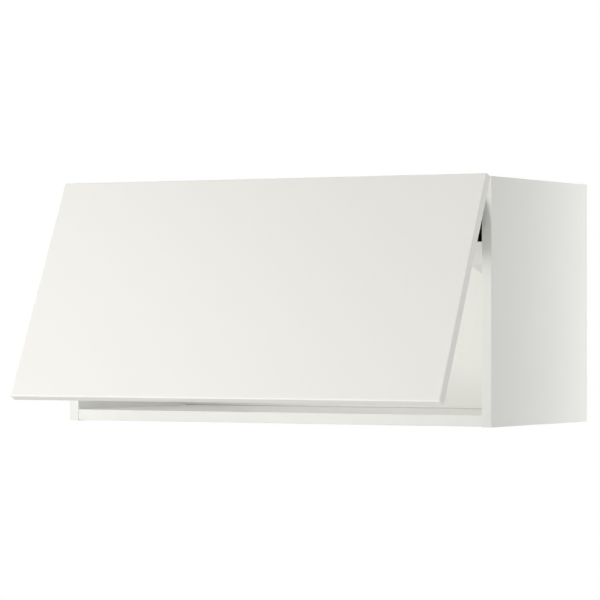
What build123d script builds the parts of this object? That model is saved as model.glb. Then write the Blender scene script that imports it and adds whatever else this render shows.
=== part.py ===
from build123d import *
import os
from math import atan2, cos, degrees, hypot, radians, sin

# Wall cabinet with a slab door that lifts up, carried by a linkage at each side.
# X runs to the right, Y towards the wall and Z up. The origin lies on the wall plane,
# midway between the two hanging bolts. The door is drawn part open.

# Carcass sizes
cabinet_width = 800.0
cabinet_height = 400.0
cabinet_depth = 370.0
panel_thickness = 18.0
panel_inset = 0.9
panel_setback = 1.0
edge_round = 0.8
side_edge_round = 1.6
back_thickness = 4.0
back_recess = 11.0
groove_depth = 8.0
groove_clearance = 0.15
groove_end_clearance = 0.5

# Rows of holes for shelf pegs in the sides
peg_hole_radius = 2.5
peg_hole_depth = 11.0
peg_row_pitch = 32.0
peg_row_count = 6
peg_row_first_drop = 40.0
peg_column_front = 37.0
peg_column_spacing = 224.0

# Carcass fasteners
dowel_radius = 4.0
dowel_in_side = 11.0
dowel_in_panel = 19.0
dowel_clearance = 0.05
dowel_end_clearance = 0.3
dowel_from_front = 60.0
dowel_spacing = 230.0
cam_radius = 7.5
cam_depth = 12.0
cam_clearance = 0.1
cam_from_end = 34.0
cam_from_front = 120.0
cam_slot_width = 1.6
cam_slot_depth = 2.0
cam_bolt_radius = 3.5
cam_bolt_thread_radius = 2.5
cam_bolt_in_side = 10.0

# Hanging brackets in the recess behind the back panel
bolt_drop = 48.0
bolt_hole_radius = 4.5
bolt_from_side = 42.0
bracket_width = 62.0
bracket_height = 50.0
bracket_thickness = 2.0
bracket_flange = 10.0
bracket_corner_round = 5.0
bracket_screw_spacing = 30.0
access_hole_radius = 13.0

# Door
door_width = 797.0
door_height = 396.0
door_thickness = 16.0
door_gap = 1.5
door_reveal = 1.2
door_front_round = 2.0
door_back_round = 0.8
open_angle_drawn = 24.8
bumper_radius = 4.0
bumper_height = 1.2
bumper_chamfer = 0.6
bumper_from_end = 7.5
bumper_from_bottom = 12.0

# Swing line of the door, measured from the back and the top of the door
swing_in_door = 2.0
swing_below_top = 1.5

# Linkage: pivots on the door, and fixed pivots on a line through the swing line
pivot_behind_door = 9.5
upper_pivot_drop = 30.0
lower_pivot_drop = 57.0
base_line_angle = 45.0
front_pivot_distance = 50.0
rear_pivot_distance = 86.0
arm_width = 12.0
arm_thickness = 3.5
arm_gap = 0.5
rivet_radius = 3.0
rivet_head_radius = 4.5
rivet_head_height = 0.8
shaft_radius = 4.0
press_clearance = 0.02
running_clearance = 0.06
end_clearance = 0.3

# Lift fitting on the side panel, measured back from the front edge and down from the top
base_thickness = 1.5
base_front = 4.0
base_back = 128.0
base_top = 22.0
base_bottom = 157.0
base_corner_round = 4.0
housing_front = 5.0
housing_back = 110.0
housing_top = 23.0
housing_bottom = 103.8
housing_floor = 11.0
housing_height = 12.0
housing_wall = 2.0
housing_corner_round = 6.0
spine_back_width = 30.0
spine_top_width = 8.0
spine_front_gap = 15.0
cover_gap = 0.3
cover_wall = 2.0
cover_bottom = 158.0
cover_slope = 20.5
cover_crease = 140.0
cover_front_lean = 8.0
cover_edge_round = 1.0
damper_radius = 12.0
damper_height = 8.0
damper_rim = 2.0
damper_rim_height = 2.0
damper_shaft_clearance = 0.3
spring_strip = 1.4
spring_width = 7.0
spring_pitch = 3.2
spring_half_turns = 8
spring_shaft_clearance = 0.4
spring_post_radius = 3.0

# Door bracket
plate_thickness = 2.0
plate_reach = 43.0
plate_margin = 13.0
plate_round = 4.0
plate_screw_reach = 30.0

# Screws
screw_radius = 2.0
screw_head_radius = 3.6
screw_head_height = 1.7
screw_head_chamfer = 0.7
screw_length = 12.0
screw_clearance = 0.1

# Derived places
top_z = bolt_drop
bottom_z = top_z - cabinet_height
front_y = -cabinet_depth
side_inner_x = cabinet_width / 2 - panel_thickness
panel_top_z = top_z - panel_inset
panel_bottom_z = bottom_z + panel_inset
panel_front_y = front_y + panel_setback
back_rear_y = -back_recess
groove_width = back_thickness + 2 * groove_clearance
open_cos = cos(radians(open_angle_drawn))
open_sin = sin(radians(open_angle_drawn))

# The fitting plane lies on the inner face of the right side. Its local x runs forward from the
# front edge, its local y up from the cabinet top, and its normal points into the cabinet.
fitting = Plane(origin=(side_inner_x, front_y, top_z), x_dir=(0, -1, 0), z_dir=(-1, 0, 0))

# Pivots as (forward, up) on the fitting plane
swing_line = (door_gap + swing_in_door, -(door_reveal + swing_below_top))
line_cos = cos(radians(base_line_angle))
line_sin = sin(radians(base_line_angle))
front_pivot = (
    swing_line[0] - front_pivot_distance * line_cos,
    swing_line[1] - front_pivot_distance * line_sin,
)
rear_pivot = (
    swing_line[0] - rear_pivot_distance * line_cos,
    swing_line[1] - rear_pivot_distance * line_sin,
)

# Steps from a fixed pivot to the pivots it carries, with the door closed
upper_step = (-(swing_in_door + pivot_behind_door), -upper_pivot_drop)
lower_step = (-(swing_in_door + pivot_behind_door), -lower_pivot_drop)

# Layers of the fitting, as distances in from the side panel
lever_layer = base_thickness + arm_gap
link_layer = lever_layer + arm_thickness + arm_gap
link_face = link_layer + arm_thickness
cavity_floor = housing_floor + housing_wall
lid_layer = housing_floor + housing_height

# Screw places on the fitting plane
base_screw_points = [
    (-peg_column_front, -(peg_row_first_drop + 3 * peg_row_pitch)),
    (-(peg_column_front + 2 * peg_row_pitch), -(peg_row_first_drop + 3 * peg_row_pitch)),
    (-(housing_back + base_back) / 2, -peg_row_first_drop),
    (-(housing_back + base_back) / 2, -(peg_row_first_drop + 2 * peg_row_pitch)),
]
dowel_points = [
    (-(dowel_from_front + column * dowel_spacing), height)
    for column in range(2)
    for height in (
        -panel_inset - panel_thickness / 2,
        -cabinet_height + panel_inset + panel_thickness / 2,
    )
]
cam_bolt_points = [(-cam_from_front, point[1]) for point in dowel_points[:2]]
bracket_screw_back = cabinet_depth - (bracket_thickness + bracket_flange) / 2
bracket_screw_points = [
    (-bracket_screw_back, sign * bracket_screw_spacing / 2 - bolt_drop) for sign in (-1, 1)
]


def turned(step):
    """A step from a pivot, turned from the closed door to the drawn door."""
    return (step[0] * open_cos - step[1] * open_sin, step[0] * open_sin + step[1] * open_cos)


def moved(pivot, step):
    """The place of a carried pivot on the fitting plane, with the door as drawn."""
    swung = turned(step)
    return (pivot[0] + swung[0], pivot[1] + swung[1])


def swung_plane(pivot, layer):
    """A plane at a pivot and a layer, turned with the door, in which steps are as when closed."""
    corner = fitting.from_local_coords((pivot[0], pivot[1], layer))
    return Plane(origin=corner, x_dir=(0, -open_cos, open_sin), z_dir=(-1, 0, 0))


def bar(start, end):
    """Add a round-ended bar between two pivots to the sketch in hand."""
    run = (end[0] - start[0], end[1] - start[1])
    middle = ((start[0] + end[0]) / 2, (start[1] + end[1]) / 2, 0)
    with Locations(Location(middle, (0, 0, degrees(atan2(run[1], run[0]))))):
        SlotCenterToCenter(hypot(run[0], run[1]), arm_width)


def write(name, piece):
    """Label a piece and write it as one node."""
    piece.part.label = name
    export_step(piece.part, f"parts/{name}.step")


def write_pair(name, right):
    """Write a right-hand piece and its mirror image at the left side."""
    with BuildPart() as left:
        mirror(right.part, about=Plane.YZ)
    write(f"{name}_right", right)
    write(f"{name}_left", left)


def write_both(name, right):
    """Write a group of solids and its mirror image as one node."""
    with BuildPart() as both:
        add(right.part)
        mirror(right.part, about=Plane.YZ)
    write(name, both)


os.makedirs("parts", exist_ok=True)

# Side panel
with BuildPart() as side_panel:
    with BuildSketch(Plane.XY.offset(bottom_z)):
        with Locations((side_inner_x, -cabinet_depth)):
            Rectangle(panel_thickness, cabinet_depth, align=(Align.MIN, Align.MIN))
    extrude(amount=cabinet_height)
    fillet(side_panel.edges().filter_by(Axis.Z).group_by(Axis.Y)[0], side_edge_round)
    with BuildSketch(Plane.XY.offset(bottom_z)):
        with Locations((side_inner_x, back_rear_y + groove_clearance)):
            Rectangle(groove_depth, groove_width, align=(Align.MIN, Align.MAX))
    extrude(amount=cabinet_height, mode=Mode.SUBTRACT)
    with BuildSketch(fitting):
        for column in range(2):
            for row in range(peg_row_count):
                peg_back = peg_column_front + column * peg_column_spacing
                with Locations((-peg_back, -(peg_row_first_drop + row * peg_row_pitch))):
                    Circle(peg_hole_radius)
    extrude(amount=-peg_hole_depth, mode=Mode.SUBTRACT)
    with BuildSketch(fitting):
        with Locations(*dowel_points):
            Circle(dowel_radius + dowel_clearance)
    extrude(amount=-(dowel_in_side + dowel_end_clearance), mode=Mode.SUBTRACT)
    with BuildSketch(fitting):
        with Locations(*cam_bolt_points):
            Circle(cam_bolt_thread_radius + dowel_clearance)
    extrude(amount=-(cam_bolt_in_side + dowel_end_clearance), mode=Mode.SUBTRACT)
    with BuildSketch(fitting):
        with Locations(*base_screw_points):
            Circle(screw_radius + screw_clearance)
    extrude(amount=-(screw_length + dowel_end_clearance), mode=Mode.SUBTRACT)
    with BuildSketch(fitting):
        with Locations(*bracket_screw_points):
            Circle(screw_radius + screw_clearance)
    extrude(amount=-(screw_length + dowel_end_clearance), mode=Mode.SUBTRACT)
write_pair("side_panel", side_panel)


def carcass_panel(low_z, outer_z, inward):
    """A top or bottom panel, with its outer face at outer_z and inward the way to the room inside."""
    bore_z = low_z + panel_thickness / 2
    with BuildPart() as panel:
        with BuildSketch(Plane.XY.offset(low_z)):
            with Locations((0, panel_front_y)):
                Rectangle(side_inner_x, -panel_front_y, align=(Align.MIN, Align.MIN))
        extrude(amount=panel_thickness)
        with BuildSketch(Plane.XY.offset(outer_z + inward * panel_thickness)):
            with Locations((0, back_rear_y + groove_clearance)):
                Rectangle(side_inner_x, groove_width, align=(Align.MIN, Align.MAX))
        extrude(amount=-inward * groove_depth, mode=Mode.SUBTRACT)
        end_plane = Plane(origin=(side_inner_x, front_y, bore_z), x_dir=(0, -1, 0), z_dir=(-1, 0, 0))
        with BuildSketch(end_plane):
            with Locations(*[(-(dowel_from_front + column * dowel_spacing), 0) for column in range(2)]):
                Circle(dowel_radius + dowel_clearance)
        extrude(amount=dowel_in_panel + dowel_end_clearance, mode=Mode.SUBTRACT)
        with BuildSketch(end_plane):
            with Locations((-cam_from_front, 0)):
                Circle(cam_bolt_radius + cam_clearance)
        extrude(amount=cam_from_end, mode=Mode.SUBTRACT)
        with BuildSketch(Plane.XY.offset(outer_z)):
            with Locations((side_inner_x - cam_from_end, front_y + cam_from_front)):
                Circle(cam_radius + cam_clearance)
        extrude(amount=inward * (cam_depth + cam_clearance), mode=Mode.SUBTRACT)
        mirror(about=Plane.YZ)
        fillet(panel.edges().filter_by(Axis.X).group_by(Axis.Y)[0], edge_round)
    return panel


top_panel = carcass_panel(panel_top_z - panel_thickness, panel_top_z, -1)
write("top_panel", top_panel)
bottom_panel = carcass_panel(panel_bottom_z, panel_bottom_z, 1)
write("bottom_panel", bottom_panel)

# Back panel, held in the grooves
back_reach = groove_depth - groove_end_clearance
back_low_z = panel_bottom_z + panel_thickness - back_reach
back_high_z = panel_top_z - panel_thickness + back_reach
with BuildPart() as back_panel:
    with BuildSketch(Plane.XZ.offset(-back_rear_y)):
        with Locations((0, (back_low_z + back_high_z) / 2)):
            Rectangle(2 * (side_inner_x + back_reach), back_high_z - back_low_z)
        with Locations((side_inner_x - bolt_from_side, 0), (bolt_from_side - side_inner_x, 0)):
            Circle(access_hole_radius, mode=Mode.SUBTRACT)
    extrude(amount=back_thickness)
write("back_panel", back_panel)

# Wood dowels
with BuildPart() as dowels:
    with BuildSketch(fitting.offset(-dowel_in_side)):
        with Locations(*dowel_points):
            Circle(dowel_radius)
    extrude(amount=dowel_in_side + dowel_in_panel)
write_both("wood_dowels", dowels)

# Cam bolts: a thread in the side and a plain neck that reaches the cam disc
cam_neck_length = cam_from_end - cam_radius - cam_clearance
with BuildPart() as cam_bolts:
    with BuildSketch(fitting.offset(-cam_bolt_in_side)):
        with Locations(*cam_bolt_points):
            Circle(cam_bolt_thread_radius)
    extrude(amount=cam_bolt_in_side)
    with BuildSketch(fitting):
        with Locations(*cam_bolt_points):
            Circle(cam_bolt_radius)
    extrude(amount=cam_neck_length)
write_both("cam_bolts", cam_bolts)

# Cam discs, let into the hidden faces of the top and bottom panels
with BuildPart() as cam_discs:
    for face_z, inward in ((panel_top_z, -1), (panel_bottom_z, 1)):
        with BuildSketch(Plane.XY.offset(face_z)):
            with Locations((side_inner_x - cam_from_end, front_y + cam_from_front)):
                Circle(cam_radius)
        extrude(amount=inward * cam_depth)
        with BuildSketch(Plane.XY.offset(face_z)):
            with Locations((side_inner_x - cam_from_end, front_y + cam_from_front)):
                Rectangle(cam_radius, cam_slot_width)
                Rectangle(cam_slot_width, cam_radius)
        extrude(amount=inward * cam_slot_depth, mode=Mode.SUBTRACT)
write_both("cam_discs", cam_discs)

# Hanging bracket: a plate on the wall plane with a flange along the side panel
with BuildPart() as hanging_bracket:
    with BuildSketch(Plane.XZ):
        with Locations((side_inner_x, 0)):
            Rectangle(bracket_width, bracket_height, align=(Align.MAX, Align.CENTER))
    extrude(amount=bracket_thickness)
    plate_end = hanging_bracket.edges().filter_by(Axis.Y).group_by(Axis.X)[0]
    fillet(plate_end, bracket_corner_round)
    with BuildSketch(Plane.XZ):
        with Locations((side_inner_x - bolt_from_side, 0)):
            Circle(bolt_hole_radius)
    extrude(amount=bracket_thickness, mode=Mode.SUBTRACT)
    with BuildSketch(fitting):
        with Locations((-cabinet_depth, -bolt_drop)):
            Rectangle(bracket_flange, bracket_height, align=(Align.MIN, Align.CENTER))
        with Locations(*bracket_screw_points):
            Circle(screw_radius + screw_clearance, mode=Mode.SUBTRACT)
    extrude(amount=bracket_thickness)
write_pair("hanging_bracket", hanging_bracket)


def side_screws(points, seat):
    """Pan-head screws through a plate whose face is at seat, into the right side panel."""
    with BuildPart() as screws:
        with BuildSketch(fitting.offset(seat - screw_length)):
            with Locations(*points):
                Circle(screw_radius)
        extrude(amount=screw_length)
        with BuildSketch(fitting.offset(seat)):
            with Locations(*points):
                Circle(screw_head_radius)
        extrude(amount=screw_head_height)
        chamfer(screws.faces().sort_by(Axis.X)[: len(points)].edges(), screw_head_chamfer)
    return screws


write_both("hanging_bracket_screws", side_screws(bracket_screw_points, bracket_thickness))

# Lift fitting: base plate
with BuildPart() as lift_base:
    with BuildSketch(fitting):
        with Locations((-base_front, -base_top)):
            RectangleRounded(
                base_back - base_front,
                base_bottom - base_top,
                base_corner_round,
                align=(Align.MAX, Align.MAX),
            )
        with Locations(front_pivot, rear_pivot):
            Circle(shaft_radius + running_clearance, mode=Mode.SUBTRACT)
        with Locations(*base_screw_points):
            Circle(screw_radius + screw_clearance, mode=Mode.SUBTRACT)
    extrude(amount=base_thickness)
write_pair("lift_base", lift_base)
write_both("lift_base_screws", side_screws(base_screw_points, base_thickness))

# Lift fitting: moulded housing, a tray over the arms with a spine down to the base plate
housing_length = housing_back - housing_front
housing_drop = housing_bottom - housing_top
housing_corner = (-housing_front, -housing_top)
spring_outer_radius = shaft_radius + spring_shaft_clearance + spring_half_turns * spring_pitch / 2
spring_end = (
    rear_pivot[0] + spring_outer_radius + spring_strip + spring_post_radius,
    rear_pivot[1],
)
with BuildPart() as lift_housing:
    with BuildSketch(fitting.offset(housing_floor)):
        with Locations(housing_corner):
            RectangleRounded(
                housing_length, housing_drop, housing_corner_round, align=(Align.MAX, Align.MAX)
            )
    extrude(amount=housing_height)
    with BuildSketch(fitting.offset(cavity_floor)):
        with Locations((-housing_front - housing_wall, -housing_top - housing_wall)):
            RectangleRounded(
                housing_length - 2 * housing_wall,
                housing_drop - 2 * housing_wall,
                housing_corner_round - housing_wall,
                align=(Align.MAX, Align.MAX),
            )
    extrude(amount=housing_height - housing_wall, mode=Mode.SUBTRACT)
    with BuildSketch(fitting.offset(base_thickness)):
        with Locations(housing_corner):
            RectangleRounded(
                housing_length, housing_drop, housing_corner_round, align=(Align.MAX, Align.MAX)
            )
        with Locations((-housing_front, -housing_top - spine_top_width)):
            Rectangle(
                housing_length - spine_back_width,
                housing_drop - spine_top_width,
                align=(Align.MAX, Align.MAX),
                mode=Mode.SUBTRACT,
            )
        with Locations(housing_corner):
            Rectangle(spine_front_gap, housing_drop, align=(Align.MAX, Align.MAX), mode=Mode.SUBTRACT)
    extrude(amount=housing_floor - base_thickness)
    with BuildSketch(fitting.offset(cavity_floor)):
        with Locations(spring_end):
            Circle(spring_post_radius)
    extrude(amount=spring_width)
    with BuildSketch(fitting.offset(housing_floor)):
        with Locations(front_pivot, rear_pivot):
            Circle(shaft_radius + running_clearance)
    extrude(amount=housing_wall, mode=Mode.SUBTRACT)
write_pair("lift_housing", lift_housing)

# Lift fitting: grey cover, a lid over the housing and a hollow box below it with a sloped end,
# whose front leans back below a crease
cover_top = housing_bottom + cover_gap
cover_face = lid_layer + cover_wall
cover_end_plane = Plane(
    origin=fitting.from_local_coords((-housing_front, 0, 0)), x_dir=(-1, 0, 0), z_dir=(0, 1, 0)
)
with BuildPart() as lift_cover:
    with BuildSketch(cover_end_plane):
        with BuildLine():
            Polyline(
                (base_thickness, -cover_top),
                (cover_face, -cover_top),
                (cover_face, -(cover_bottom - cover_slope)),
                (base_thickness + cover_wall, -cover_bottom),
                (base_thickness, -cover_bottom),
                close=True,
            )
        make_face()
    extrude(amount=housing_length)
    fillet(lift_cover.edges().filter_by(Axis.Z).group_by(Axis.X)[0], cover_edge_round)
    with BuildSketch(fitting):
        with BuildLine():
            Polyline(
                (-housing_front, -cover_crease),
                (-housing_front, -cover_bottom),
                (-housing_front - cover_front_lean, -cover_bottom),
                close=True,
            )
        make_face()
    extrude(amount=cover_face, mode=Mode.SUBTRACT)
    offset(amount=-cover_wall, openings=lift_cover.faces().sort_by(Axis.X)[-1])
    with BuildSketch(fitting.offset(lid_layer)):
        with Locations(housing_corner):
            RectangleRounded(
                housing_length,
                housing_drop + cover_gap + cover_wall,
                cover_edge_round,
                align=(Align.MAX, Align.MAX),
            )
    extrude(amount=cover_wall)
write_pair("lift_cover", lift_cover)

# Lift fitting: rotary damper on the front shaft
with BuildPart() as lift_damper:
    with BuildSketch(fitting.offset(cavity_floor)):
        with Locations(front_pivot):
            Circle(damper_radius)
    extrude(amount=damper_rim_height)
    with BuildSketch(fitting.offset(cavity_floor + damper_rim_height)):
        with Locations(front_pivot):
            Circle(damper_radius - damper_rim)
    extrude(amount=damper_height - damper_rim_height)
    with BuildSketch(fitting.offset(cavity_floor)):
        with Locations(front_pivot):
            Circle(shaft_radius + damper_shaft_clearance)
    extrude(amount=damper_height, mode=Mode.SUBTRACT)
write_pair("lift_damper", lift_damper)

# Lift fitting: spiral strip spring on the rear shaft, wound in half turns about two centres
spring_plane = Plane(
    origin=fitting.from_local_coords((rear_pivot[0], rear_pivot[1], cavity_floor)),
    x_dir=fitting.x_dir,
    z_dir=fitting.z_dir,
)
spring_start = shaft_radius + spring_shaft_clearance
with BuildPart() as lift_spring:
    with BuildSketch(spring_plane):
        with BuildLine():
            for rim in (0, spring_strip):
                for turn in range(spring_half_turns):
                    centre = 0 if turn % 2 == 0 else spring_pitch / 2
                    radius = spring_start + turn * spring_pitch / 2 + rim
                    CenterArc((centre, 0), radius, 180 * (turn % 2), 180)
            Line((spring_start, 0), (spring_start + spring_strip, 0))
            spring_last = spring_start + spring_half_turns * spring_pitch / 2
            Line((spring_last, 0), (spring_last + spring_strip, 0))
        make_face()
    extrude(amount=spring_width)
write_pair("lift_spring", lift_spring)


def lever(pivot, steps):
    """A flat lever on a fixed pivot, bent through the pivots that it carries."""
    with BuildPart() as arm:
        with BuildSketch(swung_plane(pivot, lever_layer)):
            reached = (0, 0)
            for step in steps:
                bar(reached, step)
                reached = step
            with Locations((0, 0)):
                Circle(shaft_radius + press_clearance, mode=Mode.SUBTRACT)
            with Locations(*steps):
                Circle(rivet_radius + press_clearance, mode=Mode.SUBTRACT)
        extrude(amount=arm_thickness)
    return arm


def shaft(pivot):
    """A lever's shaft, from the base plate to the housing."""
    with BuildPart() as rod:
        with BuildSketch(fitting.offset(end_clearance)):
            with Locations(pivot):
                Circle(shaft_radius)
        extrude(amount=cavity_floor + damper_height - end_clearance)
    return rod


def rivets(pivot, steps):
    """Rivets fixed in the lever layer, with heads over the links."""
    with BuildPart() as pins:
        with BuildSketch(swung_plane(pivot, lever_layer)):
            with Locations(*steps):
                Circle(rivet_radius)
        extrude(amount=link_face + end_clearance - lever_layer)
        with BuildSketch(swung_plane(pivot, link_face + end_clearance)):
            with Locations(*steps):
                Circle(rivet_head_radius)
        extrude(amount=rivet_head_height)
    return pins


def link(pivots):
    """A straight link through its pivots, which turn in it."""
    with BuildPart() as arm:
        with BuildSketch(fitting.offset(link_layer)):
            bar(pivots[0], pivots[-1])
            with Locations(*pivots):
                Circle(rivet_radius + running_clearance, mode=Mode.SUBTRACT)
        extrude(amount=arm_thickness)
    return arm


# Linkage
write_pair("front_lever", lever(front_pivot, [upper_step, lower_step]))
write_pair("front_lever_shaft", shaft(front_pivot))
write_pair("front_lever_rivets", rivets(front_pivot, [upper_step, lower_step]))
write_pair("rear_lever", lever(rear_pivot, [upper_step]))
write_pair("rear_lever_shaft", shaft(rear_pivot))
write_pair("rear_lever_rivet", rivets(rear_pivot, [upper_step]))
upper_pivots = [moved(pivot, upper_step) for pivot in (rear_pivot, front_pivot, swing_line)]
write_pair("upper_link", link(upper_pivots))
lower_pivots = [moved(pivot, lower_step) for pivot in (front_pivot, swing_line)]
write_pair("lower_link", link(lower_pivots))

# Door bracket: an ear that carries the links and a plate screwed to the back of the door
door_back = -swing_in_door
plate_top = -upper_pivot_drop + plate_margin
plate_bottom = -lower_pivot_drop - plate_margin
plate_screw_drops = [-upper_pivot_drop, -lower_pivot_drop]
with BuildPart() as door_bracket:
    with BuildSketch(swung_plane(swing_line, lever_layer)):
        bar(upper_step, lower_step)
        with Locations((door_back, (plate_top + plate_bottom) / 2)):
            Rectangle(
                pivot_behind_door,
                plate_top - plate_bottom - 2 * plate_margin + arm_width,
                align=(Align.MAX, Align.CENTER),
            )
        with Locations(upper_step, lower_step):
            Circle(rivet_radius + press_clearance, mode=Mode.SUBTRACT)
    extrude(amount=arm_thickness)
    with BuildSketch(swung_plane(swing_line, lever_layer)):
        with Locations((door_back, (plate_top + plate_bottom) / 2)):
            Rectangle(plate_thickness, plate_top - plate_bottom, align=(Align.MAX, Align.CENTER))
    extrude(amount=plate_reach)
    plate_corners = door_bracket.edges().filter_by(Axis((0, 0, 0), (0, -open_cos, open_sin)))
    fillet(plate_corners.group_by(Axis.X)[0], plate_round)
    door_inner = Plane(
        origin=swung_plane(swing_line, lever_layer).from_local_coords((door_back, 0, 0)),
        x_dir=(-1, 0, 0),
        z_dir=(0, open_cos, -open_sin),
    )
    with BuildSketch(door_inner):
        with Locations(*[(plate_screw_reach, drop) for drop in plate_screw_drops]):
            Circle(screw_radius + screw_clearance)
    extrude(amount=plate_thickness, mode=Mode.SUBTRACT)
write_pair("door_bracket", door_bracket)
write_pair("door_bracket_rivets", rivets(swing_line, [upper_step, lower_step]))

# Screws of the door brackets
door_axis = Axis((0, 0, 0), (0, -open_cos, open_sin))
with BuildPart() as door_screws:
    with BuildSketch(door_inner.offset(plate_thickness - screw_length)):
        with Locations(*[(plate_screw_reach, drop) for drop in plate_screw_drops]):
            Circle(screw_radius)
    extrude(amount=screw_length)
    with BuildSketch(door_inner.offset(plate_thickness)):
        with Locations(*[(plate_screw_reach, drop) for drop in plate_screw_drops]):
            Circle(screw_head_radius)
    extrude(amount=screw_head_height)
    chamfer(door_screws.faces().sort_by(door_axis)[: len(plate_screw_drops)].edges(), screw_head_chamfer)
write_both("door_bracket_screws", door_screws)

# Door panel
door_front_plane = Plane(
    origin=(0, front_y - swing_line[0], top_z + swing_line[1]),
    x_dir=(1, 0, 0),
    z_dir=(0, -open_cos, open_sin),
)
with BuildPart() as door_panel:
    with BuildSketch(door_front_plane.offset(-swing_in_door)):
        with Locations((0, swing_below_top)):
            Rectangle(door_width, door_height, align=(Align.CENTER, Align.MAX))
    extrude(amount=door_thickness)
    fillet(door_panel.faces().sort_by(door_axis)[-1].edges(), door_front_round)
    fillet(door_panel.faces().sort_by(door_axis)[0].edges(), door_back_round)
    with BuildSketch(door_inner):
        with Locations(*[(plate_screw_reach, drop) for drop in plate_screw_drops]):
            Circle(screw_radius + screw_clearance)
    right_bores = extrude(amount=-(screw_length - plate_thickness + end_clearance), mode=Mode.SUBTRACT)
    mirror(right_bores, about=Plane.YZ, mode=Mode.SUBTRACT)
write("door_panel", door_panel)

# Soft bumpers on the back of the door
bumper_height_on_door = swing_below_top - door_height + bumper_from_bottom
with BuildPart() as door_bumpers:
    with BuildSketch(door_front_plane.offset(-swing_in_door)):
        with Locations((door_width / 2 - bumper_from_end, bumper_height_on_door)):
            Circle(bumper_radius)
    extrude(amount=-bumper_height)
    chamfer(door_bumpers.faces().sort_by(door_axis)[0].edges(), bumper_chamfer)
write_both("door_bumpers", door_bumpers)
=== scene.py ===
import bpy
import numpy as np
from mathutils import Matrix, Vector


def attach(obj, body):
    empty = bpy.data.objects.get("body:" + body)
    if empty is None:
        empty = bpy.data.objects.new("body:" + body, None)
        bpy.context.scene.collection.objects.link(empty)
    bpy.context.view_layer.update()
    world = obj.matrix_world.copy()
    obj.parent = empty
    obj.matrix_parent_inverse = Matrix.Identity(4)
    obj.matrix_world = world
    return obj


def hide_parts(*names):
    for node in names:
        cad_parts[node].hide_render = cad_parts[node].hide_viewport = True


# Looks of a white wall cabinet whose slab door lifts up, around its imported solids.
# Lengths are in metres in the frame of the part: X to the right, Y to the wall, Z up.

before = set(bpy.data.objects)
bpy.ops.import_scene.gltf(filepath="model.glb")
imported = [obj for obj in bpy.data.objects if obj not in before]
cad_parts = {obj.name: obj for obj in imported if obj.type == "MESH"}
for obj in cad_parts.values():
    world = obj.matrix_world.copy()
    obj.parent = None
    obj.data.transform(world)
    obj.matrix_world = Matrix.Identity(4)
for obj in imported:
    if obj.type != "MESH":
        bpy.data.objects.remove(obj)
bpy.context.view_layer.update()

# Sizes of the solids that the new pieces sit on
side_inner_x = 0.382
side_outer_x = 0.400
front_y = -0.370
top_z = 0.048
bottom_z = -0.352
panel_front_y = -0.369
panel_thickness = 0.018
panel_inset = 0.0009
back_front_y = -0.015
bottom_inner_z = bottom_z + panel_inset + panel_thickness
# Height of the painted shade at the foot of the back panel
painted_shade_height = 0.002
foil_thickness = 0.0003
edge_band = 0.002

# The door at rest, measured from the line that it swings about
swing_y = -0.3735
swing_z = 0.0453
swing_middle = np.array([0.0, swing_y, swing_z])
open_angle = np.radians(24.8)
door_normal = np.array([0.0, -np.cos(open_angle), np.sin(open_angle)])
door_up = np.array([0.0, np.sin(open_angle), np.cos(open_angle)])
door_back = -0.002
door_front = 0.014
door_bottom = -0.3945
door_front_round = 0.002

# The lift fitting, in pairs of forward and up from the top front edge of the side panel
swing_forward = np.array([0.0035, -0.0027])
lever_slope = np.radians(45)
base_line = np.array([-np.cos(lever_slope), -np.sin(lever_slope)])
front_pivot_distance = 0.050
rear_pivot_distance = 0.086
front_pivot = swing_forward + front_pivot_distance * base_line
rear_pivot = swing_forward + rear_pivot_distance * base_line
upper_step = np.array([-0.0115, -0.030])
lower_step = np.array([-0.0115, -0.057])
lever_layer = 0.002
base_thickness = 0.0015
bracket_thickness = 0.002
plate_thickness = 0.002

# Sockets of a Mix node, by number because it has several of each name
share = 0
value_a, value_b = 2, 3
colour_a, colour_b = 6, 7
mix_colour = 2


def linear(hex_colour):
    """An sRGB hex colour as linear red, green, blue and an alpha of one."""
    srgb = np.array([int(hex_colour[k : k + 2], 16) for k in (1, 3, 5)]) / 255
    low = srgb / 12.92
    high = ((srgb + 0.055) / 1.055) ** 2.4
    return (*np.where(srgb <= 0.04045, low, high).tolist(), 1.0)


def add_node(tree, kind, feeds, **settings):
    """Add a node with its settings. A feed is a number, a colour or another node's output."""
    made = tree.nodes.new(kind)
    for setting, value in settings.items():
        setattr(made, setting, value)
    for socket, feed in feeds.items():
        if isinstance(feed, bpy.types.NodeSocket):
            tree.links.new(feed, made.inputs[socket])
        else:
            made.inputs[socket].default_value = feed
    return made


def new_material(name):
    """An empty material, its node tree and its Object coordinates."""
    material = bpy.data.materials.new(name)
    material.use_nodes = True
    tree = material.node_tree
    tree.nodes.clear()
    place = add_node(tree, "ShaderNodeTexCoord", {}).outputs["Object"]
    return material, tree, place


# Materials


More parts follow.
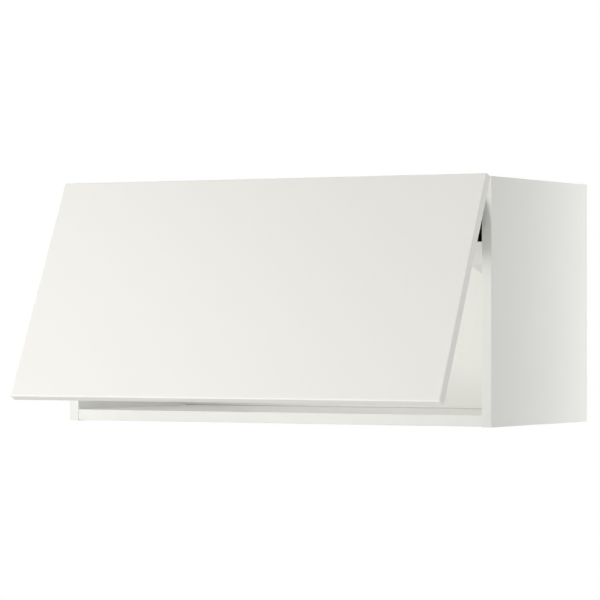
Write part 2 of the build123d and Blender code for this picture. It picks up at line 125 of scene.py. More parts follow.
def melamine_foil(name, core_axis, core_faces, front_edge, ends):
    """White melamine foil pressed on chipboard.

    The foil gives a clean satin white with a pearl emboss of about 0.8 mm and a very slight drift
    of tone. Where a cut shows the core, between the two foils, it is chips of wood 1 to 4 mm long.
    The core shows between core_faces along core_axis, where X counts from the middle on both
    sides, behind the band on the front edge and between the banded ends.
    """
    material, tree, place = new_material(name)
    split = add_node(tree, "ShaderNodeSeparateXYZ", {0: place})
    drift = add_node(tree, "ShaderNodeTexNoise", {"Vector": place, "Scale": 9.0, "Detail": 2.0})
    foil = add_node(
        tree,
        "ShaderNodeMix",
        {share: drift.outputs["Fac"], colour_a: linear("#EDEDEC"), colour_b: linear("#F1F1F0")},
        data_type="RGBA",
    )
    emboss = add_node(tree, "ShaderNodeTexNoise", {"Vector": place, "Scale": 1250.0, "Detail": 1.0})
    chips = add_node(tree, "ShaderNodeTexVoronoi", {"Vector": place, "Scale": 420.0})
    grain = add_node(tree, "ShaderNodeTexNoise", {"Vector": place, "Scale": 900.0, "Detail": 4.0})
    chip_tone = add_node(tree, "ShaderNodeSeparateColor", {0: chips.outputs["Color"]})
    wood = add_node(
        tree,
        "ShaderNodeMix",
        {share: chip_tone.outputs[0], colour_a: linear("#B08A5A"), colour_b: linear("#DCC096")},
        data_type="RGBA",
    )
    core = add_node(
        tree,
        "ShaderNodeMix",
        {share: grain.outputs["Fac"], colour_a: linear("#8C6A42"), colour_b: wood.outputs[mix_colour]},
        data_type="RGBA",
    )
    along = split.outputs[core_axis]
    if core_axis == "X":
        along = add_node(tree, "ShaderNodeMath", {0: along}, operation="ABSOLUTE").outputs[0]
    inside = None
    for reading, limit, test in (
        (along, core_faces[0] + foil_thickness, "GREATER_THAN"),
        (along, core_faces[1] - foil_thickness, "LESS_THAN"),
        (split.outputs["Y"], front_edge + edge_band, "GREATER_THAN"),
        (split.outputs["Z"], ends[0], "GREATER_THAN"),
        (split.outputs["Z"], ends[1], "LESS_THAN"),
    ):
        passed = add_node(tree, "ShaderNodeMath", {0: reading, 1: limit}, operation=test).outputs[0]
        if inside is not None:
            both = add_node(tree, "ShaderNodeMath", {0: inside, 1: passed}, operation="MULTIPLY")
            passed = both.outputs[0]
        inside = passed
    colour = add_node(
        tree,
        "ShaderNodeMix",
        {share: inside, colour_a: foil.outputs[mix_colour], colour_b: core.outputs[mix_colour]},
        data_type="RGBA",
    )
    sheen = add_node(
        tree, "ShaderNodeMapRange", {"Value": emboss.outputs["Fac"], "To Min": 0.36, "To Max": 0.46}
    )
    rough = add_node(tree, "ShaderNodeMix", {share: inside, value_a: sheen.outputs[0], value_b: 0.9})
    relief = add_node(
        tree,
        "ShaderNodeMix",
        {share: inside, value_a: emboss.outputs["Fac"], value_b: grain.outputs["Fac"]},
    )
    bump = add_node(
        tree,
        "ShaderNodeBump",
        {"Height": relief.outputs[0], "Strength": 0.12, "Distance": 0.0002},
    )
    shader = add_node(
        tree,
        "ShaderNodeBsdfPrincipled",
        {
            "Base Color": colour.outputs[mix_colour],
            "Roughness": rough.outputs[0],
            "Normal": bump.outputs[0],
            "IOR": 1.5,
        },
    )
    add_node(tree, "ShaderNodeOutputMaterial", {"Surface": shader.outputs[0]})
    return material


def lacquered_door():
    """Fibreboard wrapped in white foil, pressed smooth.

    It is a warm, even white with a soft gloss and an orange peel of about 3 mm, too low to see
    except in a reflection. The round of its lower front edge carries a painted highlight: it is
    painted near white and made glossier.
    """
    material, tree, place = new_material("white_door_foil")
    drift = add_node(tree, "ShaderNodeTexNoise", {"Vector": place, "Scale": 4.0, "Detail": 2.0})
    colour = add_node(
        tree,
        "ShaderNodeMix",
        {share: drift.outputs["Fac"], colour_a: linear("#F2F0EE"), colour_b: linear("#F4F1F0")},
        data_type="RGBA",
    )
    # Painted highlight: the round of the lower front edge is painted near white and made glossier.
    to_corner = door_normal - door_up
    corner = to_corner @ swing_middle + door_front - door_bottom
    reach = add_node(tree, "ShaderNodeVectorMath", {0: place, 1: to_corner}, operation="DOT_PRODUCT")
    painted_highlight = add_node(
        tree,
        "ShaderNodeMapRange",
        {
            "Value": reach.outputs["Value"],
            "From Min": corner - 1.5 * door_front_round,
            "From Max": corner - door_front_round,
        },
    )
    highlighted_colour = add_node(
        tree,
        "ShaderNodeMix",
        {share: painted_highlight.outputs[0], colour_a: colour.outputs[mix_colour], colour_b: linear("#FDFCFA")},
        data_type="RGBA",
    )
    peel = add_node(tree, "ShaderNodeTexNoise", {"Vector": place, "Scale": 330.0, "Detail": 2.0})
    rough = add_node(
        tree, "ShaderNodeMapRange", {"Value": peel.outputs["Fac"], "To Min": 0.26, "To Max": 0.32}
    )
    gloss = add_node(
        tree,
        "ShaderNodeMix",
        {share: painted_highlight.outputs[0], value_a: rough.outputs[0], value_b: 0.15},
    )
    bump = add_node(
        tree, "ShaderNodeBump", {"Height": peel.outputs["Fac"], "Strength": 0.08, "Distance": 0.0002}
    )
    shader = add_node(
        tree,
        "ShaderNodeBsdfPrincipled",
        {
            "Base Color": highlighted_colour.outputs[mix_colour],
            "Roughness": gloss.outputs[0],
            "Normal": bump.outputs[0],
            "IOR": 1.5,
        },
    )
    add_node(tree, "ShaderNodeOutputMaterial", {"Surface": shader.outputs[0]})
    return material


def painted_hardboard():
    """Hardboard, painted white on the room side and bare on the wall side.

    The bare side is brown, with fibres 2 to 8 mm long. The foot of the painted side is darkened to
    grey, a painted shade in the corner above the bottom panel.
    """
    material, tree, place = new_material("painted_hardboard")
    split = add_node(tree, "ShaderNodeSeparateXYZ", {0: place})
    bare = add_node(
        tree,
        "ShaderNodeMath",
        {0: split.outputs["Y"], 1: back_front_y + foil_thickness},
        operation="GREATER_THAN",
    )
    stretch = add_node(tree, "ShaderNodeMapping", {"Vector": place, "Scale": (260.0, 600.0, 700.0)})
    fibre = add_node(
        tree, "ShaderNodeTexNoise", {"Vector": stretch.outputs[0], "Scale": 1.0, "Detail": 5.0}
    )
    cloud = add_node(tree, "ShaderNodeTexNoise", {"Vector": place, "Scale": 14.0, "Detail": 3.0})
    brown = add_node(
        tree,
        "ShaderNodeMix",
        {share: fibre.outputs["Fac"], colour_a: linear("#6E4F31"), colour_b: linear("#B58D5F")},
        data_type="RGBA",
    )
    clouded = add_node(
        tree,
        "ShaderNodeMix",
        {share: cloud.outputs["Fac"], colour_a: brown.outputs[mix_colour], colour_b: linear("#9C7850")},
        data_type="RGBA",
    )
    paint = add_node(
        tree,
        "ShaderNodeMix",
        {share: cloud.outputs["Fac"], colour_a: linear("#ECECEB"), colour_b: linear("#F0F0EF")},
        data_type="RGBA",
    )
    # Painted shade: the painted side darkens to grey over the last 2 mm above the bottom panel.
    painted_shade_foot = add_node(
        tree,
        "ShaderNodeMapRange",
        {
            "Value": split.outputs["Z"],
            "From Min": bottom_inner_z,
            "From Max": bottom_inner_z + painted_shade_height,
            "To Min": 1.0,
            "To Max": 0.0,
        },
    )
    shaded_paint = add_node(
        tree,
        "ShaderNodeMix",
        {
            share: painted_shade_foot.outputs[0],
            colour_a: paint.outputs[mix_colour],
            colour_b: linear("#BEBEBB"),
        },
        data_type="RGBA",
    )
    colour = add_node(
        tree,
        "ShaderNodeMix",
        {
            share: bare.outputs[0],
            colour_a: shaded_paint.outputs[mix_colour],
            colour_b: clouded.outputs[mix_colour],
        },
        data_type="RGBA",
    )
    rough = add_node(tree, "ShaderNodeMix", {share: bare.outputs[0], value_a: 0.45, value_b: 0.8})
    bump = add_node(
        tree, "ShaderNodeBump", {"Height": fibre.outputs["Fac"], "Strength": 0.15, "Distance": 0.0003}
    )
    shader = add_node(
        tree,
        "ShaderNodeBsdfPrincipled",
        {
            "Base Color": colour.outputs[mix_colour],
            "Roughness": rough.outputs[0],
            "Normal": bump.outputs[0],
            "IOR": 1.5,
        },
    )
    add_node(tree, "ShaderNodeOutputMaterial", {"Surface": shader.outputs[0]})
    return material


def moulded_plastic(name, dark, light, roughness):
    """Injection-moulded ABS with a spark-eroded grain.

    The grain is about 0.4 mm and is drawn at 0.6 mm so that it shows. It breaks the gloss into a
    fine, even matt, with a slight drift of tone where the plastic flowed.
    """
    material, tree, place = new_material(name)
    flow = add_node(tree, "ShaderNodeTexNoise", {"Vector": place, "Scale": 40.0, "Detail": 2.0})
    colour = add_node(
        tree,
        "ShaderNodeMix",
        {share: flow.outputs["Fac"], colour_a: linear(dark), colour_b: linear(light)},
        data_type="RGBA",
    )
    grain = add_node(tree, "ShaderNodeTexNoise", {"Vector": place, "Scale": 1650.0, "Detail": 1.0})
    rough = add_node(
        tree,
        "ShaderNodeMapRange",
        {
            "Value": grain.outputs["Fac"],
            "To Min": roughness - 0.06,
            "To Max": roughness + 0.06,
        },
    )
    bump = add_node(
        tree, "ShaderNodeBump", {"Height": grain.outputs["Fac"], "Strength": 0.25, "Distance": 0.0002}
    )
    shader = add_node(
        tree,
        "ShaderNodeBsdfPrincipled",
        {
            "Base Color": colour.outputs[mix_colour],
            "Roughness": rough.outputs[0],
            "Normal": bump.outputs[0],
            "IOR": 1.53,
        },
    )
    add_node(tree, "ShaderNodeOutputMaterial", {"Surface": shader.outputs[0]})
    return material


def finished_metal(name, dark, light, roughness, line_scale):
    """A metal surface with fine lines or grains, from rolling, tempering, coating or casting.

    line_scale gives the pattern's counts per metre along X, Y and Z: a rolled sheet has lines
    about 0.3 mm apart, a casting has even grains of about 1 mm and a coat has finer ones.
    """
    material, tree, place = new_material(name)
    stretch = add_node(tree, "ShaderNodeMapping", {"Vector": place, "Scale": line_scale})
    lines = add_node(
        tree, "ShaderNodeTexNoise", {"Vector": stretch.outputs[0], "Scale": 1.0, "Detail": 3.0}
    )
    stain = add_node(tree, "ShaderNodeTexNoise", {"Vector": place, "Scale": 120.0, "Detail": 2.0})
    colour = add_node(
        tree,
        "ShaderNodeMix",
        {share: stain.outputs["Fac"], colour_a: linear(dark), colour_b: linear(light)},
        data_type="RGBA",
    )
    rough = add_node(
        tree,
        "ShaderNodeMapRange",
        {
            "Value": lines.outputs["Fac"],
            "To Min": roughness - 0.08,
            "To Max": roughness + 0.08,
        },
    )
    bump = add_node(
        tree, "ShaderNodeBump", {"Height": lines.outputs["Fac"], "Strength": 0.12, "Distance": 0.0001}
    )
    shader = add_node(
        tree,
        "ShaderNodeBsdfPrincipled",
        {
            "Base Color": colour.outputs[mix_colour],
            "Metallic": 1.0,
            "Roughness": rough.outputs[0],
            "Normal": bump.outputs[0],
        },
    )
    add_node(tree, "ShaderNodeOutputMaterial", {"Surface": shader.outputs[0]})
    return material


def turned_beech():
    """Beech, turned and fluted. The grain runs along X, with flecks about 8 mm long and 0.7 mm wide."""
    material, tree, place = new_material("turned_beech")
    stretch = add_node(tree, "ShaderNodeMapping", {"Vector": place, "Scale": (120.0, 1400.0, 1400.0)})
    fleck = add_node(
        tree, "ShaderNodeTexNoise", {"Vector": stretch.outputs[0], "Scale": 1.0, "Detail": 4.0}
    )
    colour = add_node(
        tree,
        "ShaderNodeMix",
        {share: fleck.outputs["Fac"], colour_a: linear("#A87B4C"), colour_b: linear("#DDB888")},
        data_type="RGBA",
    )
    bump = add_node(
        tree, "ShaderNodeBump", {"Height": fleck.outputs["Fac"], "Strength": 0.2, "Distance": 0.0002}
    )
    shader = add_node(
        tree,
        "ShaderNodeBsdfPrincipled",
        {
            "Base Color": colour.outputs[mix_colour],
            "Roughness": 0.65,
            "Normal": bump.outputs[0],
            "IOR": 1.5,
        },
    )
    add_node(tree, "ShaderNodeOutputMaterial", {"Surface": shader.outputs[0]})
    return material


def clear_polyurethane():
    """Cast polyurethane, soft and milky clear, with clouds of about 1.4 mm and a dull surface."""
    material, tree, place = new_material("clear_polyurethane")
    haze = add_node(tree, "ShaderNodeTexNoise", {"Vector": place, "Scale": 700.0, "Detail": 2.0})
    colour = add_node(
        tree,
        "ShaderNodeMix",
        {share: haze.outputs["Fac"], colour_a: linear("#DEDFDA"), colour_b: linear("#EEEFEB")},
        data_type="RGBA",
    )
    rough = add_node(
        tree, "ShaderNodeMapRange", {"Value": haze.outputs["Fac"], "To Min": 0.3, "To Max": 0.42}
    )
    shader = add_node(
        tree,
        "ShaderNodeBsdfPrincipled",
        {
            "Base Color": colour.outputs[mix_colour],
            "Roughness": rough.outputs[0],
            "Transmission Weight": 0.5,
            "IOR": 1.5,
        },
    )
    add_node(tree, "ShaderNodeOutputMaterial", {"Surface": shader.outputs[0]})
    return material


side_foil = melamine_foil(
    "foil_on_sides",
    "X",
    (side_inner_x, side_outer_x),
    front_y,
    (bottom_z + foil_thickness, top_z - foil_thickness),
)
top_foil = melamine_foil(
    "foil_on_top",
    "Z",
    (top_z - panel_inset - panel_thickness, top_z - panel_inset),
    panel_front_y,
    (bottom_z, top_z),
)
bottom_foil = melamine_foil(
    "foil_on_bottom",
    "Z",
    (bottom_z + panel_inset, bottom_inner_z),
    panel_front_y,
    (bottom_z, top_z),
)
door_foil = lacquered_door()
hardboard = painted_hardboard()
black_abs = moulded_plastic("black_moulded_abs", "#141415", "#1B1B1C", 0.46)
grey_abs = moulded_plastic("grey_moulded_abs", "#E0E1E1", "#E6E7E6", 0.5)
rolled_lines = (3000.0, 3000.0, 90.0)
drawn_lines = (90.0, 3000.0, 3000.0)
coat_grains = (1600.0, 1600.0, 1600.0)
cast_grains = (1100.0, 1100.0, 1100.0)
zinc_plate = finished_metal("zinc_plated_steel", "#B4B8BE", "#D2D4D6", 0.3, rolled_lines)
coated_steel = finished_metal("black_coated_steel", "#1D1D1E", "#29292A", 0.42, coat_grains)
tempered_steel = finished_metal("blued_spring_steel", "#3A3F49", "#596070", 0.34, drawn_lines)
die_cast_zinc = finished_metal("die_cast_zinc", "#9A9CA0", "#B7B9BC", 0.5, cast_grains)
beech = turned_beech()
polyurethane = clear_polyurethane()

node_materials = {
    "side_panel": side_foil,
    "top_panel": top_foil,
    "bottom_panel": bottom_foil,
    "back_panel": hardboard,
    "wood_dowels": beech,
    "cam_bolts": zinc_plate,
    "cam_discs": die_cast_zinc,
    "hanging_bracket": zinc_plate,
    "lift_base": zinc_plate,
    "lift_housing": black_abs,
    "lift_cover": grey_abs,
    "lift_damper": black_abs,
    "lift_spring": tempered_steel,
    "front_lever": zinc_plate,
    "rear_lever": zinc_plate,
    "upper_link": coated_steel,
    "lower_link": coated_steel,
    "door_bracket": zinc_plate,
    "door_panel": door_foil,
    "door_bumpers": polyurethane,
}
for node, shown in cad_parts.items():
    family = max((name for name in node_materials if node.startswith(name)), key=len)
    shown.data.materials.clear()
    shown.data.materials.append(node_materials[family])


# Turned pieces

both_sides = (1, -1)
crease_angle = np.radians(35)
nearly_upright = 0.9


def ring_grid(radius, height, steps):
    """Rings of a turned shape about Z: points at equal angles, at their ring's radius and height.

    radius and height are arrays of one value per ring, or of one value per ring and angle.
    """
    angle = np.linspace(0.0, 2.0 * np.pi, steps, endpoint=False)
    radius = np.broadcast_to(np.atleast_2d(np.asarray(radius).T).T, (len(radius), steps))
    height = np.broadcast_to(np.atleast_2d(np.asarray(height).T).T, (len(height), steps))
    return np.stack([radius * np.cos(angle), radius * np.sin(angle), height], axis=-1)


def set_in_place(rings, seats, axis):
    """Copies of a ring grid with their Z along axis and their origins at the seats."""
    axis = np.asarray(axis, float) / np.linalg.norm(axis)
    across = np.array([1.0, 0.0, 0.0])
    if abs(axis[2]) < nearly_upright:
        across = np.cross(axis, (0.0, 0.0, 1.0))
    across = across / np.linalg.norm(across)
    turn = np.stack([across, np.cross(axis, across), axis])
    return np.asarray(seats, float)[:, None, None, :] + (rings @ turn)[None]


def turned_piece(name, grids, material, body, replaced):
    """A piece from grids of copies, rings and steps, whose first and last ring shrink to a pole.

    Neighbouring rings are joined by four-sided faces, the last step joins the first, and a fan of
    triangles closes each pole.
    """
    vertices = []
    faces = []
    start = 0
    for grid in grids:
        copies, rings, steps = grid.shape[:3]
        inner = grid[:, 1:-1].reshape(copies, -1, 3)
        poles = grid[:, [0, -1], 0]
        points = np.concatenate([inner, poles], axis=1)
        index = np.arange((rings - 2) * steps).reshape(rings - 2, steps)
        after = np.roll(index, -1, axis=1)
        walls = np.stack([index[:-1], after[:-1], after[1:], index[1:]], axis=-1).reshape(-1, 4)
        low_pole = np.full(steps, (rings - 2) * steps)
        low_fan = np.stack([low_pole, after[0], index[0]], axis=-1)
        high_fan = np.stack([low_pole + 1, index[-1], after[-1]], axis=-1)
        shift = start + np.arange(copies)[:, None, None] * points.shape[1]
        vertices.append(points.reshape(-1, 3))
        for part in (walls, low_fan, high_fan):
            faces.extend((part[None] + shift).reshape(-1, part.shape[1]).tolist())
        start += copies * points.shape[1]
    mesh = bpy.data.meshes.new(name)
    mesh.from_pydata(np.concatenate(vertices).tolist(), [], faces)
    mesh.shade_smooth()
    mesh.set_sharp_from_angle(angle=crease_angle)
    mesh.materials.append(material)
    piece = bpy.data.objects.new(name, mesh)
    bpy.context.scene.collection.objects.link(piece)
    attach(piece, body)
    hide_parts(*replaced)


def on_fitting(places, layer, side):
    """Points of the lift fitting, from pairs of forward and up, at a layer in from the side panel."""
    places = np.atleast_2d(places)
    x = np.full(len(places), side * (side_inner_x - layer))
    return np.stack([x, front_y - places[:, 0], top_z + places[:, 1]], axis=-1)


def on_both_sides(shape, places, layer):
    """Grids of a turned shape on the right and the left, pointing in from the side panels."""
    return [set_in_place(shape, on_fitting(places, layer, side), (-side, 0, 0)) for side in both_sides]


def on_door(across, out, up):
    """A point that goes with the door at rest, from the middle of the line that it swings about."""
    return swing_middle + (across, 0, 0) + out * door_normal + up * door_up


def swung(step):
    """A step from a pivot, turned with the door as it stands at rest."""
    c, s = np.cos(open_angle), np.sin(open_angle)
    return np.array([step[0] * c - step[1] * s, step[0] * s + step[1] * c])


def thread(radius, depth, pitch, height, steps):
    """The radius of a thread: a triangle wave of height less the turn, from radius down by depth."""
    turn = np.linspace(0.0, 1.0, steps, endpoint=False)
    phase = np.asarray(height)[:, None] / pitch - turn[None, :]
    return radius - depth * np.abs(2.0 * (phase - np.floor(phase)) - 1.0)


def crosshead_screw():
    """A pan-head screw about Z with its seat at zero: thread below, domed head above.

    The head falls off as an ellipse's arc from its middle to its rim. A cross is let into it: the
    depth grows inwards from the cross outline, which is where the smaller of the two distances
    from the middle lines passes the slot's half width, or the larger one the slot's reach.
    """
    steps = 48
    length, shank_radius, thread_depth, pitch = 0.012, 0.0019, 0.00055, 0.0016
    tip_radius, tip_length, neck_length = 0.0006, 0.0012, 0.0004
    head_radius, head_height, rim = 0.0036, 0.0017, 0.0007
    plain_until, cross_from, cross_until = 0.0022, 0.0020, 0.00012
    slot_half, slot_reach, slot_depth, slot_wall = 0.00038, 0.0017, 0.0012, 0.00035
    tip = -length + plate_thickness
    shank_z = np.linspace(tip + tip_length, -neck_length, 34)
    shank_r = thread(shank_radius, thread_depth, pitch, shank_z, steps)
    plain_r = np.linspace(head_radius, plain_until, 6)
    head_r = np.concatenate([plain_r, np.linspace(cross_from, cross_until, 14)])
    under_r = np.array([shank_radius, head_radius, head_radius])
    under_z = np.array([0.0, 0.0, rim * 0.6])
    dome = rim + (head_height - rim) * np.sqrt(np.clip(1.0 - (head_r / head_radius) ** 2, 0.0, 1.0))
    angle = np.linspace(0.0, 2.0 * np.pi, steps, endpoint=False)
    x = np.abs(head_r[:, None] * np.cos(angle))
    y = np.abs(head_r[:, None] * np.sin(angle))
    outline = np.maximum(np.minimum(x, y) - slot_half, np.maximum(x, y) - slot_reach)
    head_z = dome[:, None] - slot_depth * np.clip(-outline / slot_wall, 0.0, 1.0)
    return np.concatenate(
        [
            ring_grid(np.array([0.0, tip_radius]), np.array([tip, tip]), steps),
            ring_grid(shank_r, shank_z, steps),
            ring_grid(under_r, under_z, steps),
            ring_grid(head_r, head_z, steps),
            ring_grid(np.array([0.0]), head_z[-1:, :1], steps),
        ]
    )


def domed_rivet():
    """A rivet about Z with its foot at zero: a plain pin, then a low dome with a dimple in its middle.

    The dome is an ellipse's arc from the rim, and the dimple a cosine bell taken off it.
    """
    steps = 40
    pin_radius, pin_length, chamfer = 0.003, 0.0078, 0.0003
    head_radius, head_height, rim = 0.0045, 0.0008, 0.0003
    dimple_radius, dimple_depth, middle_radius = 0.0016, 0.0003, 0.0002
    head_r = np.linspace(head_radius, middle_radius, 12)
    arc = rim + (head_height - rim) * np.sqrt(1.0 - (head_r / head_radius) ** 2)
    bell = dimple_depth * (1.0 + np.cos(np.pi * np.clip(head_r / dimple_radius, 0.0, 1.0))) / 2.0
    head_z = pin_length + arc - bell
    pin_r = [0.0, pin_radius - chamfer, pin_radius, pin_radius, head_radius]
    pin_z = [0.0, 0.0, chamfer, pin_length, pin_length]
    radius = np.concatenate([pin_r, head_r, [0.0]])
    return ring_grid(radius, np.concatenate([pin_z, head_z, head_z[-1:]]), steps)


def fluted_dowel():
    """A dowel about Z from zero to its length, with chamfered ends.

    Straight flutes are cut into its radius, as the square of a sine wave round it.
    """
    steps = 96
    radius, length, chamfer = 0.004, 0.030, 0.0008
    flutes, flute_depth = 16, 0.0003
    angle = np.linspace(0.0, 2.0 * np.pi, steps, endpoint=False)
    body = radius - flute_depth * np.abs(np.sin(flutes / 2 * angle)) ** 2
    end = np.full(steps, radius - chamfer - flute_depth)
    point = np.zeros(steps)
    rings = np.stack([point, end, body, body, end, point])
    return ring_grid(rings, np.array([0.0, 0.0, chamfer, length - chamfer, length, length]), steps)


def cam_bolt():
    """A cam bolt about Z, with its collar at zero: a coarse thread below, a waist and a ball above.

    The ball is an arc of a circle, from under its widest ring to close to its top.
    """
    steps = 32
    tip_radius, tip, thread_from, thread_until = 0.0012, -0.0100, -0.0092, -0.0004
    thread_radius, thread_depth, pitch = 0.00245, 0.0007, 0.0022
    collar_radius, collar_height = 0.0034, 0.0022
    shoulder_radius, shoulder_height, waist_radius, waist_height = 0.0021, 0.0030, 0.0019, 0.0205
    ball_radius, ball_height, ball_from, ball_until = 0.0031, 0.0233, -0.9, np.pi / 2 - 0.08
    thread_z = np.linspace(thread_from, thread_until, 30)
    thread_r = thread(thread_radius, thread_depth, pitch, thread_z, steps)
    ball_angle = np.linspace(ball_from, ball_until, 9)
    ball_r = ball_radius * np.cos(ball_angle)
    ball_z = ball_height + ball_radius * np.sin(ball_angle)
    neck_r = np.array([collar_radius, collar_radius, shoulder_radius, waist_radius])
    neck_z = np.array([0.0, collar_height, shoulder_height, waist_height])
    return np.concatenate(
        [
            ring_grid(np.array([0.0, tip_radius]), np.array([tip, tip]), steps),
            ring_grid(thread_r, thread_z, steps),
            ring_grid(np.concatenate([neck_r, ball_r]), np.concatenate([neck_z, ball_z]), steps),
            ring_grid(np.array([0.0]), ball_z[-1:], steps),
        ]
    )


def bumper_dome():
    """A self-adhesive bumper about Z: a short wall, then a quarter of an ellipse over it."""
    steps = 36
    radius, wall, rise = 0.004, 0.0004, 0.0008
    angle = np.linspace(0.0, np.pi / 2 - 0.1, 10)
    dome_r = radius * np.cos(angle)
    dome_z = wall + rise * np.sin(angle)
    radii = np.concatenate([[0.0, radius], dome_r, [0.0]])
    return ring_grid(radii, np.concatenate([[0.0, 0.0], dome_z, dome_z[-1:]]), steps)


base_screw_places = np.array([[-0.037, -0.136], [-0.101, -0.136], [-0.119, -0.040], [-0.119, -0.104]])
bracket_screw_places = np.array([[-0.364, -0.033], [-0.364, -0.063]])
turned_piece(
    "lift_base_crosshead_screws",
    on_both_sides(crosshead_screw(), base_screw_places, base_thickness),
    zinc_plate,
    "cabinet",
    ["lift_base_screws"],
)
turned_piece(
    "hanging_bracket_crosshead_screws",
    on_both_sides(crosshead_screw(), bracket_screw_places, bracket_thickness),
    zinc_plate,
    "cabinet",
    ["hanging_bracket_screws"],
)
door_screw_x = 0.350
door_screw_ups = (-0.030, -0.057)
door_screw_seats = [
    on_door(side * door_screw_x, door_back - plate_thickness, up)
    for side in both_sides
    for up in door_screw_ups
]
turned_piece(
    "door_bracket_crosshead_screws",
    [set_in_place(crosshead_screw(), door_screw_seats, -door_normal)],
    zinc_plate,
    "door",
    ["door_bracket_screws"],
)
for side, hand in zip(both_sides, ("right", "left")):
    for node, body, pivot, steps_carried in (
        ("front_lever_rivets", "front_lever", front_pivot, (upper_step, lower_step)),
        ("rear_lever_rivet", "rear_lever", rear_pivot, (upper_step,)),
        ("door_bracket_rivets", "door", swing_forward, (upper_step, lower_step)),
    ):
        places = np.array([pivot + swung(step) for step in steps_carried])
        turned_piece(
            f"{node}_domed_{hand}",
            [set_in_place(domed_rivet(), on_fitting(places, lever_layer, side), (-side, 0, 0))],
            zinc_plate,
            body if body == "door" else f"{body}_{hand}",
            [f"{node}_{hand}"],
        )
dowel_backs = (-0.060, -0.290)
panel_middles = (
    -panel_inset - panel_thickness / 2,
    bottom_z - top_z + panel_inset + panel_thickness / 2,
)
dowel_places = np.array([[back, up] for back in dowel_backs for up in panel_middles])
dowel_in_side = 0.011
turned_piece(
    "fluted_dowels",
    on_both_sides(fluted_dowel(), dowel_places, -dowel_in_side),
    beech,
    "cabinet",
    ["wood_dowels"],
)
cam_bolt_back = -0.120
cam_bolt_places = np.array([[cam_bolt_back, up] for up in panel_middles])
turned_piece(
    "threaded_cam_bolts",
    on_both_sides(cam_bolt(), cam_bolt_places, 0.0),
    zinc_plate,
    "cabinet",
    ["cam_bolts"],
)
bumper_x = 0.391
bumper_up = -0.3825
bumper_seats = [on_door(side * bumper_x, door_back, bumper_up) for side in both_sides]
turned_piece(
    "domed_door_bumpers",
    [set_in_place(bumper_dome(), bumper_seats, -door_normal)],
    polyurethane,
    "door",
    ["door_bumpers"],
)

# Stage: a pale floor, which turns to white away from the object

floor_z = -1.70
floor_radius = 6.0
floor_fade = (1.0, 3.5)


def seen_directly(tree):
    """One for camera, glossy and transmission rays, and zero for the rays that carry light."""
    path = add_node(tree, "ShaderNodeLightPath", {})
    mirror = add_node(
        tree,
        "ShaderNodeMath",
        {0: path.outputs["Is Camera Ray"], 1: path.outputs["Is Glossy Ray"]},
        operation="MAXIMUM",
    )
    return add_node(
        tree,
        "ShaderNodeMath",
        {0: mirror.outputs[0], 1: path.outputs["Is Transmission Ray"]},
        operation="MAXIMUM",
    ).outputs[0]


def pale_floor():
    """A flat disc: rings at growing radii about the point under the cabinet.

    It is matt paint near that point, and shines white to the camera further off.
    """
    rings = 24
    steps = 96
    smallest = 0.02
    angle = np.linspace(0.0, 2.0 * np.pi, steps, endpoint=False)
    radius = floor_radius * np.linspace(smallest, 1.0, rings)[:, None]
    points = np.stack(
        [radius * np.cos(angle), radius * np.sin(angle), np.full((rings, steps), floor_z)], axis=-1
    )
    index = np.arange(rings * steps).reshape(rings, steps)
    after = np.roll(index, -1, axis=1)
    walls = np.stack([index[:-1], index[1:], after[1:], after[:-1]], axis=-1).reshape(-1, 4)
    mesh = bpy.data.meshes.new("pale_floor")
    mesh.from_pydata(points.reshape(-1, 3).tolist(), [], walls.tolist() + [index[0].tolist()])
    material, tree, place = new_material("pale_floor_paint")
    shader = add_node(
        tree,
        "ShaderNodeBsdfPrincipled",
        {"Base Color": linear("#F2F2F0"), "Roughness": 0.8, "IOR": 1.5},
    )
    glow = add_node(tree, "ShaderNodeEmission", {"Color": linear("#FFFFFF"), "Strength": 1.0})
    split = add_node(tree, "ShaderNodeSeparateXYZ", {0: place})
    flat = add_node(
        tree, "ShaderNodeCombineXYZ", {"X": split.outputs["X"], "Y": split.outputs["Y"], "Z": 0.0}
    )
    reach = add_node(tree, "ShaderNodeVectorMath", {0: flat.outputs[0]}, operation="LENGTH")
    fade = add_node(
        tree,
        "ShaderNodeMapRange",
        {"Value": reach.outputs["Value"], "From Min": floor_fade[0], "From Max": floor_fade[1]},
        interpolation_type="SMOOTHSTEP",
    )
    seen = add_node(
        tree, "ShaderNodeMath", {0: fade.outputs[0], 1: seen_directly(tree)}, operation="MULTIPLY"
    )
    mixed = add_node(
        tree, "ShaderNodeMixShader", {0: seen.outputs[0], 1: shader.outputs[0], 2: glow.outputs[0]}
    )
    add_node(tree, "ShaderNodeOutputMaterial", {"Surface": mixed.outputs[0]})
    mesh.materials.append(material)
    floor = bpy.data.objects.new("pale_floor", mesh)
    bpy.context.scene.collection.objects.link(floor)


pale_floor()

# Light

lamp_white = "#FEFFFA"
world = bpy.data.worlds.new("white_studio")
bpy.context.scene.world = world
world.use_nodes = True
studio = world.node_tree
studio.nodes.clear()
white = add_node(studio, "ShaderNodeBackground", {"Color": linear("#FFFFFF"), "Strength": 1.0})
soft = add_node(studio, "ShaderNodeBackground", {"Color": linear(lamp_white), "Strength": 0.15})
seen_white = add_node(
    studio,
    "ShaderNodeMixShader",
    {0: seen_directly(studio), 1: soft.outputs[0], 2: white.outputs[0]},
)
add_node(studio, "ShaderNodeOutputWorld", {"Surface": seen_white.outputs[0]})


def lamp_group(name, pieces, state):
    """Pieces that a lamp singles out: it lights them alone, or leaves them out of light or shade."""
    group = bpy.data.collections.new(name)
    for piece in pieces:
        group.objects.link(piece)
    for entry in group.collection_objects:
        entry.light_linking.link_state = state
    return group


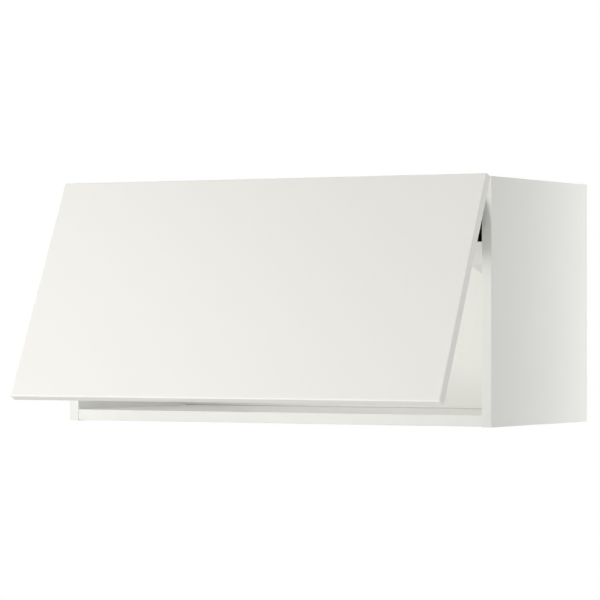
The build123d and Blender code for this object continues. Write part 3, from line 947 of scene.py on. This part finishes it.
def soft_box(name, place, aim, size, power, shades=None, lights=None, mirrored=True):
    """A rectangular studio lamp at a place, turned towards aim.

    Its size is in metres and its power in watts. shades and lights are the groups that cast its
    shadows and that it lights, which are all pieces where they are None. A lamp that isn't mirrored
    stays out of reflections.
    """
    lamp = bpy.data.lights.new(name, "AREA")
    lamp.shape = "RECTANGLE"
    lamp.size, lamp.size_y = size
    lamp.energy = power
    lamp.color = linear(lamp_white)[:3]
    hung = bpy.data.objects.new(name, lamp)
    hung.location = place
    hung.rotation_euler = (Vector(aim) - Vector(place)).to_track_quat("-Z", "Y").to_euler()
    hung.visible_camera = False
    hung.visible_glossy = mirrored
    hung.light_linking.blocker_collection = shades
    hung.light_linking.receiver_collection = lights
    bpy.context.scene.collection.objects.link(hung)


# The door, or the door and the top panel, cast no shadow in four of the lamps, so that the inside and
# the right panel's front edge are as bright as in the photograph. In the right edge lamp, the lift
# fitting shades that edge.
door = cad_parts["door_panel"]
right_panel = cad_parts["side_panel_right"]
no_door_shade = lamp_group("no_door_shade", [door], "EXCLUDE")
no_upper_shade = lamp_group("no_upper_shade", [door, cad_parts["top_panel"]], "EXCLUDE")
all_but_right_side = lamp_group("all_but_right_side", [right_panel], "EXCLUDE")
right_side_alone = lamp_group("right_side_alone", [right_panel], "INCLUDE")
right_ends = lamp_group("right_ends", [right_panel, door], "INCLUDE")
door_alone = lamp_group("door_alone", [door], "INCLUDE")
bottom_alone = lamp_group("bottom_alone", [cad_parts["bottom_panel"]], "INCLUDE")
middle = (0.0, -0.30, -0.15)
door_low_edge = (0.0, -0.53, -0.30)
right_front_edge = (0.39, -0.37, -0.15)
right_face = (0.40, -0.15, -0.15)
inner_bottom = (0.0, -0.19, -0.33)
left_rear = (-0.2, 0.0, -0.15)
top_face = (0.0, -0.1, 0.0)
soft_box(
    "left_front_lamp",
    (-1.6, -2.8, 0.0),
    middle,
    (1.6, 1.6),
    37.6,
    shades=no_door_shade,
    lights=all_but_right_side,
    mirrored=False,
)
soft_box(
    "overhead_lamp",
    (0.2, -2.3, 1.75),
    middle,
    (1.6, 1.2),
    12.0,
    shades=no_upper_shade,
    lights=all_but_right_side,
)
soft_box("left_key_lamp", (-1.6, -2.0, 1.2), middle, (1.2, 1.2), 7.8)
soft_box("right_low_lamp", (0.9, -2.6, -0.9), middle, (1.2, 0.8), 10.2)
soft_box("right_front_lamp", (2.0, -0.7, -0.1), middle, (0.8, 1.2), 8.1, lights=right_ends)
soft_box("right_back_lamp", (0.56, 0.23, -0.15), right_face, (0.12, 1.4), 1.5, lights=right_ends)
soft_box(
    "right_edge_lamp",
    (-1.2, -1.6, 2.6),
    right_front_edge,
    (0.8, 0.8),
    104.0,
    shades=no_door_shade,
    lights=right_side_alone,
)
soft_box("door_low_lamp", (0.0, -0.75, -1.5), door_low_edge, (1.2, 0.4), 2.0, lights=door_alone)
soft_box(
    "inside_lamp",
    (0.0, -0.2, 1.6),
    inner_bottom,
    (1.4, 0.3),
    1.2,
    shades=no_upper_shade,
    lights=bottom_alone,
)
soft_box("left_back_lamp", (-1.8, 1.8, 0.4), left_rear, (1.2, 1.2), 18.0, mirrored=False)
soft_box("top_back_lamp", (0.0, 0.7, 2.2), top_face, (1.6, 1.0), 17.0, lights=all_but_right_side)

# Light goes round the white inside many times.
bpy.context.scene.cycles.diffuse_bounces = 10

# Camera, fitted to the panel edges in the photograph

camera_lens = bpy.data.cameras.new("camera")
camera_lens.sensor_width = 36.0
camera_lens.lens = 194.47
camera_lens.shift_y = 0.04035
camera = bpy.data.objects.new("camera", camera_lens)
camera.location = (2.6416, -5.0197, -0.1877)
camera.rotation_euler = (np.radians(90.0), 0.0, np.radians(29.125))
bpy.context.scene.collection.objects.link(camera)
bpy.context.scene.camera = camera
bpy.context.scene.view_settings.view_transform = "Standard"
